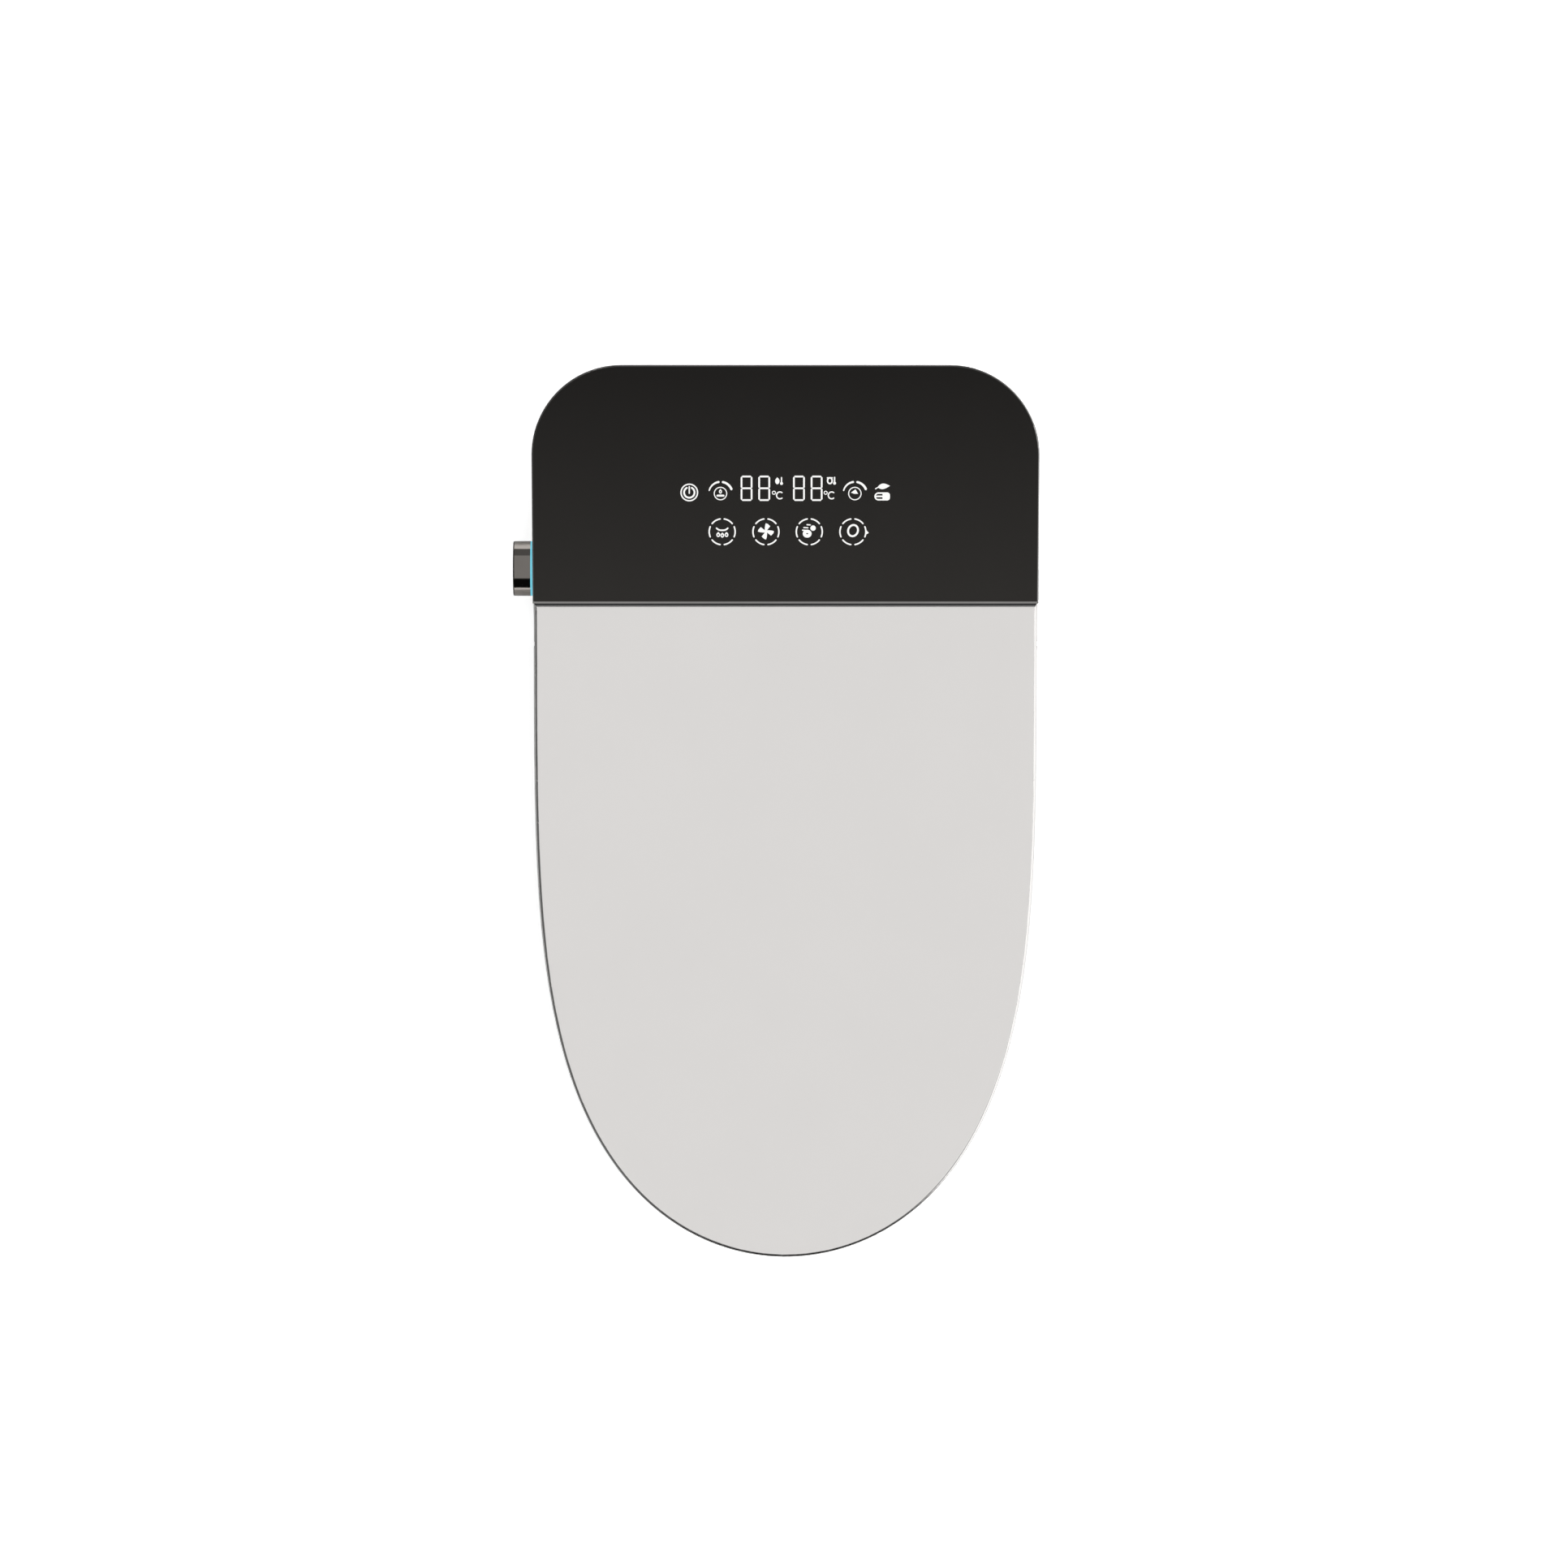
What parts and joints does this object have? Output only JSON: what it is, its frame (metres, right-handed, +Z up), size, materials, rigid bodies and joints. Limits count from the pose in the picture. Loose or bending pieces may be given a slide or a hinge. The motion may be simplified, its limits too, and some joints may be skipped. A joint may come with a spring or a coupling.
{
  "type": "electric bidet seat",
  "caption": "Electric bidet seat with an oval lid and heated seat ring hinged to a rear housing with a dark glass touch panel and a side knob.",
  "frame": {"origin": "midway between the two fixing slots, on the plane that lies on the toilet's rim", "axes": "+Z up, +Y towards the rear (the cistern side), -Y towards the front of the seat, knob on -X (the sitter's right)"},
  "size_m": [0.4047, 0.6828, 0.1074],
  "materials": {
    "lid_grey": "satin",
    "white_shell": "satin",
    "seat_white": "satin",
    "dark_glass": "gloss",
    "black_plastic": "matte",
    "polished_metal": "polished",
    "light_ring": "gloss",
    "grey_plastic": "matte",
    "white_plastic": "matte",
    "rubber": "matte",
    "soft_white_rubber": "matte",
    "steel": "satin",
    "stainless": "satin",
    "aluminium": "satin",
    "brass": "satin",
    "acetal": "satin",
    "board_green": "satin",
    "led_white": "gloss",
    "copper": "satin",
    "carbon": "matte",
    "mica": "matte"
  },
  "bodies": {
    "chassis": {"hinge_mounts": "acetal", "lid_dampers": "grey_plastic", "seat_dampers": "grey_plastic", "rear_cover": "white_shell", "chassis_tray": "white_plastic", "cover_screws": "steel", "deck_pads": "rubber", "mounting_bracket": "steel", "release_spring": "steel", "panel_frame": "black_plastic", "top_panel": "dark_glass", "trim_strip": "polished_metal", "display_board": "board_green", "display_leds": "led_white", "touch_pads": "copper", "knob_encoder": "grey_plastic", "knob_spring": "steel", "nozzle_bay_cover": "white_shell", "nozzle_holder": "acetal", "nozzle_motors": "steel", "dryer_duct": "white_plastic", "dryer_heater": "mica", "blower_scroll": "black_plastic", "blower_motor": "steel", "deodoriser_duct": "white_plastic", "fan_housing": "black_plastic", "filter_guide": "white_plastic", "water_inlet": "brass", "water_heater": "white_plastic", "water_hoses": "rubber", "flow_selector": "acetal", "air_pump": "grey_plastic", "power_supply": "aluminium", "main_board": "board_green", "cable_gland": "black_plastic"},
    "lid": {"lid_outer": "lid_grey", "lid_inner": "white_plastic", "lid_bumpers": "soft_white_rubber", "lid_hinge_pins": "steel"},
    "seat": {"seat_top": "seat_white", "seat_bottom": "white_plastic", "seat_heater": "copper", "seat_bumpers": "soft_white_rubber", "seat_screws": "steel", "seat_hinge_pins": "steel"},
    "knob_pusher": {"knob_light_ring": "light_ring", "knob_shaft": "steel"},
    "knob": {"knob_cap": "polished_metal"},
    "rear_wand": {"rear_wand": "white_plastic", "rear_wand_tip": "stainless"},
    "front_wand": {"front_wand": "white_plastic", "front_wand_tip": "stainless"},
    "rear_pinion": {"rear_wand_pinion": "acetal"},
    "front_pinion": {"front_wand_pinion": "acetal"},
    "dryer_flap": {"dryer_flap": "white_shell"},
    "blower_impeller": {"blower_impeller": "grey_plastic"},
    "fan_impeller": {"fan_impeller": "grey_plastic"},
    "release_button": {"release_button": "white_plastic"},
    "filter_drawer": {"filter_tray": "white_shell", "carbon_filter": "carbon"}
  },
  "joints": [
    {"name": "seat_hinge", "type": "hinge", "parent": "chassis", "child": "seat", "pos_m": [0, -0.007, 0.084], "axis": [1, 0, 0], "range_deg": [-97, 0]},
    {"name": "lid_hinge", "type": "hinge", "parent": "seat", "child": "lid", "pos_m": [0, -0.007, 0.084], "axis": [-1, 0, 0], "range_deg": [0, 105]},
    {"name": "knob_press", "type": "slide", "parent": "chassis", "child": "knob_pusher", "axis": [1, 0, 0], "range_m": [0, 0.0015], "stiffness_N_per_m": 1500, "deforming": ["knob_spring"]},
    {"name": "knob_turn", "type": "hinge", "parent": "knob_pusher", "child": "knob", "pos_m": [-0.202, 0.0375, 0.064], "axis": [-1, 0, 0], "continuous": true},
    {"name": "rear_wand_slide", "type": "slide", "parent": "chassis", "child": "rear_wand", "axis": [0, -0.9336, -0.3584], "range_m": [0, 0.068]},
    {"name": "front_wand_slide", "type": "slide", "parent": "chassis", "child": "front_wand", "axis": [0, -0.9336, -0.3584], "range_m": [0, 0.068]},
    {"name": "rear_pinion_spin", "type": "hinge", "parent": "chassis", "child": "rear_pinion", "pos_m": [-0.019, -0.0606, 0.03509], "axis": [-1, 0, 0], "range_deg": [-1, 620]},
    {"name": "front_pinion_spin", "type": "hinge", "parent": "chassis", "child": "front_pinion", "pos_m": [0.019, -0.0606, 0.03509], "axis": [-1, 0, 0], "range_deg": [-1, 620]},
    {"name": "dryer_flap_hinge", "type": "hinge", "parent": "chassis", "child": "dryer_flap", "pos_m": [0.052, -0.09075, 0.0426], "axis": [-1, 0, 0], "range_deg": [0, 50]},
    {"name": "blower_spin", "type": "hinge", "parent": "chassis", "child": "blower_impeller", "pos_m": [0.075, 0.102, 0.03], "axis": [0, 0, 1], "continuous": true},
    {"name": "fan_spin", "type": "hinge", "parent": "chassis", "child": "fan_impeller", "pos_m": [-0.066, 0.1, 0.03], "axis": [0, 0, 1], "continuous": true},
    {"name": "release_press", "type": "slide", "parent": "chassis", "child": "release_button", "axis": [-1, 0, 0], "range_m": [0, 0.004], "stiffness_N_per_m": 800, "deforming": ["release_spring"]},
    {"name": "filter_slide", "type": "slide", "parent": "chassis", "child": "filter_drawer", "axis": [-1, 0, 0], "range_m": [0, 0.06]}
  ],
  "couplings": [
    {"joint": "rear_pinion_spin", "follows": "rear_wand_slide", "rad_per_m": 142.86},
    {"joint": "front_pinion_spin", "follows": "front_wand_slide", "rad_per_m": 142.86}
  ]
}
